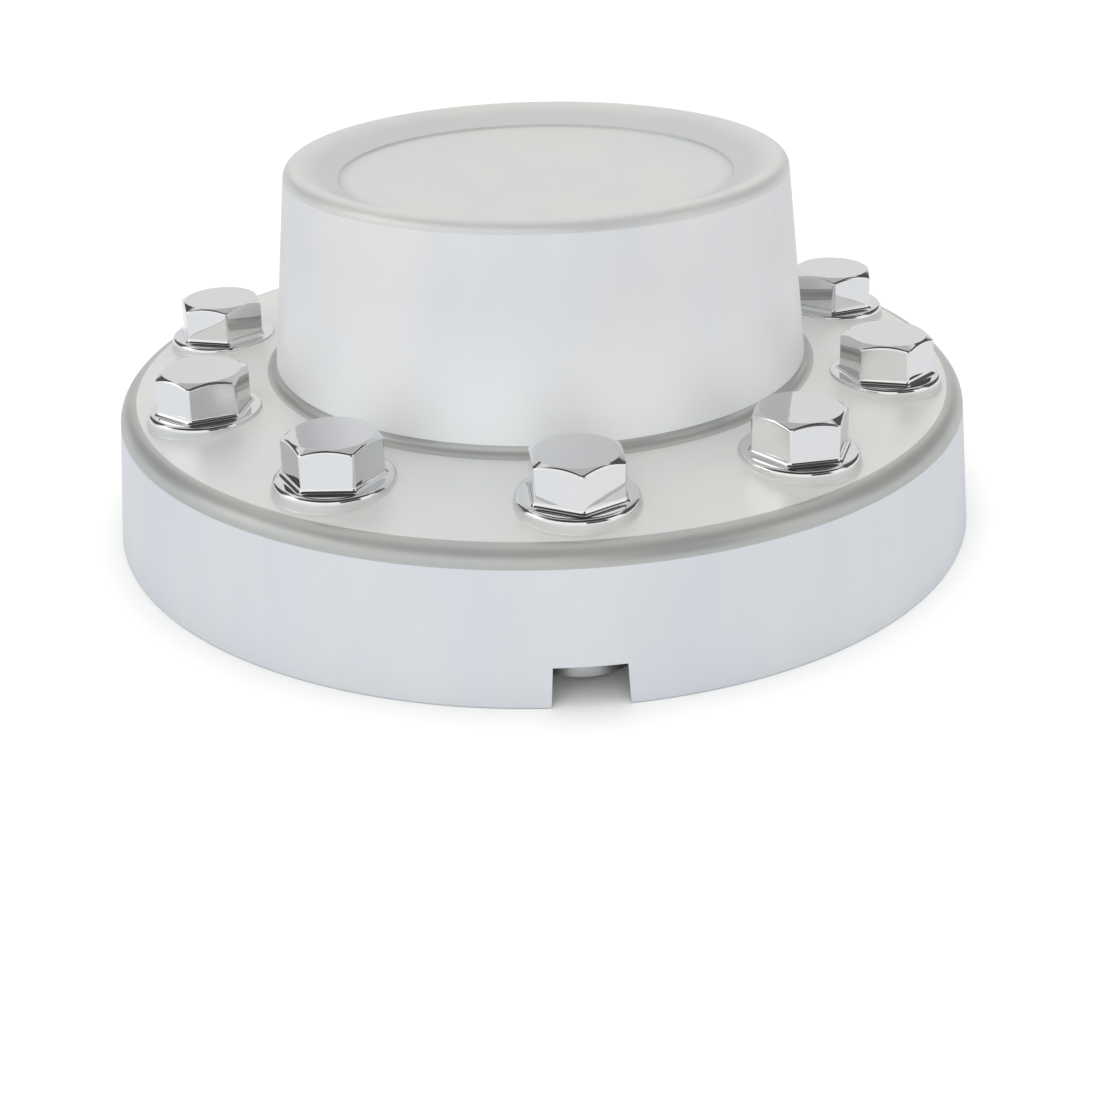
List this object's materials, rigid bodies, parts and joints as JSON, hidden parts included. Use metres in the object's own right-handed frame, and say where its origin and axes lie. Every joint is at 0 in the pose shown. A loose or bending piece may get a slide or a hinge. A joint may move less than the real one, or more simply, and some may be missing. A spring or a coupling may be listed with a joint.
{
  "type": "wheel center cap",
  "caption": "Chromed one-piece cover for a truck wheel's rear hub: skirt, sloped face with hexagon nut covers on the bolt circle, and a tall dished dome.",
  "frame": {"origin": "centre of the skirt's foot, on the plane that lies on the wheel's disc", "axes": "+Z along the wheel's axle, out from the wheel towards the dome; -Y towards the notch in the skirt's foot and the nut cover above it"},
  "size_m": [0.4178, 0.4172, 0.174],
  "materials": {
    "chromed_abs": "polished, slightly pearly on the broad walls and mirror bright on the nut covers"
  },
  "bodies": {
    "root": {"axle_cover": "chromed_abs"}
  },
  "joints": []
}
